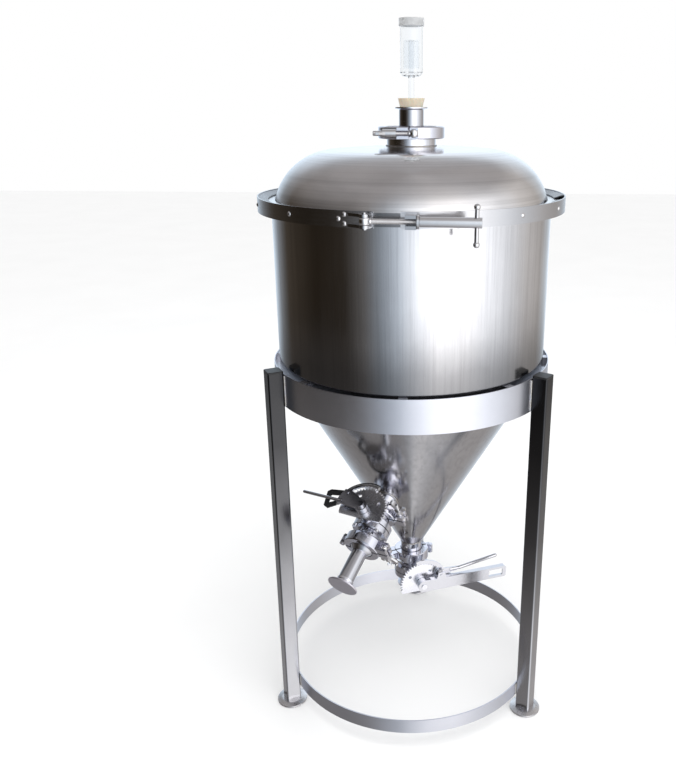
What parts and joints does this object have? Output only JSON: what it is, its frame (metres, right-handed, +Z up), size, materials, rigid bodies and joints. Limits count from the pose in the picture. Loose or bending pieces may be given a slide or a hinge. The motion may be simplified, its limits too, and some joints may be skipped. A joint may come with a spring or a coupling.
{
  "type": "conical fermenter",
  "caption": "Closed steel brewing vessel with a domed clamped lid, a steep cone, leg stand, butterfly dump valve, side racking valve and a top airlock.",
  "frame": {"origin": "on the floor plane, on the tank's vertical axis", "axes": "+Z up along the tank axis; the lid latch and the valves are at the front, -Y; +X is to the right seen from the front"},
  "size_m": [0.4823, 0.533, 1.1404],
  "materials": {
    "tank_steel": "satin brushed, faint vertical streaks",
    "lid_steel": "satin spun",
    "polished_steel": "mirror polished stainless",
    "ring_steel": "fine satin",
    "leg_steel": "polished square tube",
    "foot_steel": "satin turned",
    "black_plastic": "moulded black",
    "silicone": "translucent white silicone",
    "black_rubber": "black rubber",
    "bung_rubber": "cream rubber stopper",
    "clear_plastic": "clear moulded plastic",
    "cap_plastic": "clear-white cap",
    "band_steel": "rolled stainless strap",
    "fastener_steel": "machined stainless",
    "cast_steel": "polished casting",
    "handle_steel": "pressed stainless",
    "cap_steel": "satin blank disc",
    "clamp_steel": "polished investment casting"
  },
  "bodies": {
    "vessel": {"tank_shell": "tank_steel", "cone_ferrules": "polished_steel", "support_ring": "ring_steel", "base_ring": "ring_steel", "leg_left": "leg_steel", "leg_right": "leg_steel", "leg_rear": "leg_steel", "leg_caps": "black_plastic", "foot_pads": "foot_steel", "clamp_seals": "silicone", "band_strap": "band_steel", "band_retainers": "band_steel", "bridge_tongue": "band_steel", "band_rivets": "fastener_steel", "trunnion_bracket": "band_steel", "saddle_bracket": "band_steel", "dump_clamp_fixed_half": "clamp_steel", "dump_clamp_swing_half": "clamp_steel", "dump_valve_body": "cast_steel", "rack_inlet_clamp_fixed_half": "clamp_steel", "rack_inlet_clamp_swing_half": "clamp_steel", "rack_outlet_clamp_fixed_half": "clamp_steel", "rack_outlet_clamp_swing_half": "clamp_steel", "rack_valve_body": "cast_steel", "outlet_tube": "polished_steel", "valve_seats": "black_rubber", "valve_bolts": "fastener_steel", "index_plates": "handle_steel"},
    "lid": {"lid_shell": "lid_steel", "lid_ferrule": "polished_steel", "lid_gasket": "silicone", "reducer_cap": "polished_steel", "lid_port_seal": "silicone", "lid_clamp_fixed_half": "clamp_steel", "lid_clamp_swing_half": "clamp_steel"},
    "airlock": {"bung": "bung_rubber", "airlock_body": "clear_plastic"},
    "airlock_float": {"airlock_float": "clear_plastic"},
    "airlock_cap": {"airlock_cap": "cap_plastic"},
    "latch_bolt": {"latch_bolt": "fastener_steel"},
    "thrust_washer": {"thrust_washer": "fastener_steel"},
    "tee_nut": {"tee_nut": "fastener_steel"},
    "tommy_bar": {"tommy_bar": "fastener_steel"},
    "dump_valve_handle": {"dump_handle": "handle_steel", "dump_disc_stem": "polished_steel"},
    "dump_valve_trigger": {"dump_trigger": "handle_steel"},
    "rack_valve_lever": {"rack_handle": "handle_steel", "rack_disc_stem": "polished_steel"},
    "rack_valve_trigger": {"rack_trigger": "black_plastic"},
    "racking_arm": {"racking_arm": "polished_steel"},
    "outlet_plug": {"outlet_cap": "cap_steel", "outlet_o_ring": "black_rubber"},
    "lid_clamp_bolt": {"lid_clamp_bolt": "fastener_steel"},
    "lid_clamp_nut": {"lid_clamp_wing_nut": "fastener_steel"},
    "dump_clamp_bolt": {"dump_clamp_bolt": "fastener_steel"},
    "dump_clamp_nut": {"dump_clamp_wing_nut": "fastener_steel"},
    "rack_inlet_clamp_bolt": {"rack_inlet_clamp_bolt": "fastener_steel"},
    "rack_inlet_clamp_nut": {"rack_inlet_clamp_wing_nut": "fastener_steel"},
    "rack_outlet_clamp_bolt": {"rack_outlet_clamp_bolt": "fastener_steel"},
    "rack_outlet_clamp_nut": {"rack_outlet_clamp_wing_nut": "fastener_steel"}
  },
  "joints": [
    {"name": "lid_lift", "type": "slide", "parent": "vessel", "child": "lid", "axis": [0, 0, 1], "range_m": [0, 0.2]},
    {"name": "airlock_pull", "type": "slide", "parent": "lid", "child": "airlock", "axis": [0, 0, 1], "range_m": [0, 0.06]},
    {"name": "airlock_float_rise", "type": "slide", "parent": "airlock", "child": "airlock_float", "axis": [0, 0, 1], "range_m": [0, 0.008]},
    {"name": "airlock_cap_pull", "type": "slide", "parent": "airlock", "child": "airlock_cap", "axis": [0, 0, 1], "range_m": [0, 0.025]},
    {"name": "latch_bolt_swing", "type": "hinge", "parent": "vessel", "child": "latch_bolt", "pos_m": [-0.04729, -0.24908, 0.8755], "axis": [0, 0, -1], "range_deg": [0, 100]},
    {"name": "latch_nut_travel", "type": "slide", "parent": "latch_bolt", "child": "thrust_washer", "axis": [0.9981, -0.061, 0], "range_m": [0, 0.015]},
    {"name": "latch_nut_turn", "type": "hinge", "parent": "thrust_washer", "child": "tee_nut", "pos_m": [0.04453, -0.25469, 0.8755], "axis": [0.9981, -0.061, 0], "range_deg": [0, 4321]},
    {"name": "tommy_bar_slide", "type": "slide", "parent": "tee_nut", "child": "tommy_bar", "axis": [0, 0, 1], "range_m": [-0.008, 0.016]},
    {"name": "dump_valve_turn", "type": "hinge", "parent": "vessel", "child": "dump_valve_handle", "pos_m": [0.02296, -0.05543, 0.2064], "axis": [-0.3827, 0.9239, 0], "range_deg": [0, 90]},
    {"name": "dump_trigger_squeeze", "type": "hinge", "parent": "dump_valve_handle", "child": "dump_valve_trigger", "pos_m": [0.05345, -0.0428, 0.2234], "axis": [-0.3827, 0.9239, 0], "range_deg": [0, 7.5], "stiffness_Nm_per_rad": 0.8, "springref_deg": -8.59},
    {"name": "rack_valve_turn", "type": "hinge", "parent": "vessel", "child": "rack_valve_lever", "pos_m": [-0.07006, -0.15736, 0.41016], "axis": [-0.2034, -0.4568, 0.866], "range_deg": [0, 90]},
    {"name": "rack_trigger_squeeze", "type": "hinge", "parent": "rack_valve_lever", "child": "rack_valve_trigger", "pos_m": [-0.09422, -0.13049, 0.41866], "axis": [-0.2034, -0.4568, 0.866], "range_deg": [0, 7.5], "stiffness_Nm_per_rad": 0.8, "springref_deg": -8.59},
    {"name": "racking_arm_turn", "type": "hinge", "parent": "vessel", "child": "racking_arm", "pos_m": [-0.04074, -0.09151, 0.3825], "axis": [-0.3522, -0.7912, -0.5], "continuous": true},
    {"name": "outlet_cap_pull", "type": "slide", "parent": "vessel", "child": "outlet_plug", "axis": [-0.3522, -0.7912, -0.5], "range_m": [0, 0.03]},
    {"name": "lid_clamp_bolt_swing", "type": "hinge", "parent": "lid", "child": "lid_clamp_bolt", "pos_m": [0.007, -0.0605, 0.97898], "axis": [0, 0, 1], "range_deg": [0, 100]},
    {"name": "lid_clamp_nut_turn", "type": "hinge", "parent": "lid_clamp_bolt", "child": "lid_clamp_nut", "pos_m": [-0.024, -0.0605, 0.97898], "axis": [-1, 0, 0], "continuous": true},
    {"name": "dump_clamp_bolt_swing", "type": "hinge", "parent": "vessel", "child": "dump_clamp_bolt", "pos_m": [-0.03986, -0.00894, 0.2392], "axis": [0, 0, -1], "range_deg": [0, 100]},
    {"name": "dump_clamp_nut_turn", "type": "hinge", "parent": "dump_clamp_bolt", "child": "dump_clamp_nut", "pos_m": [-0.03068, -0.03111, 0.2392], "axis": [0.3827, -0.9239, 0], "continuous": true},
    {"name": "rack_inlet_clamp_bolt_swing", "type": "hinge", "parent": "vessel", "child": "rack_inlet_clamp_bolt", "pos_m": [-0.00811, -0.11718, 0.36854], "axis": [0.3522, 0.7912, 0.5], "range_deg": [0, 100]},
    {"name": "rack_inlet_clamp_nut_turn", "type": "hinge", "parent": "rack_inlet_clamp_bolt", "child": "rack_inlet_clamp_nut", "pos_m": [-0.01299, -0.12814, 0.38932], "axis": [-0.2034, -0.4568, 0.866], "continuous": true},
    {"name": "rack_outlet_clamp_bolt_swing", "type": "hinge", "parent": "vessel", "child": "rack_outlet_clamp_bolt", "pos_m": [-0.03407, -0.17548, 0.34786], "axis": [-0.3522, -0.7912, -0.5], "range_deg": [0, 100]},
    {"name": "rack_outlet_clamp_nut_turn", "type": "hinge", "parent": "rack_outlet_clamp_bolt", "child": "rack_outlet_clamp_nut", "pos_m": [-0.02919, -0.16451, 0.32708], "axis": [0.2034, 0.4568, -0.866], "continuous": true}
  ],
  "couplings": [
    {"joint": "latch_nut_turn", "follows": "latch_nut_travel", "rad_per_m": 5026.5}
  ]
}
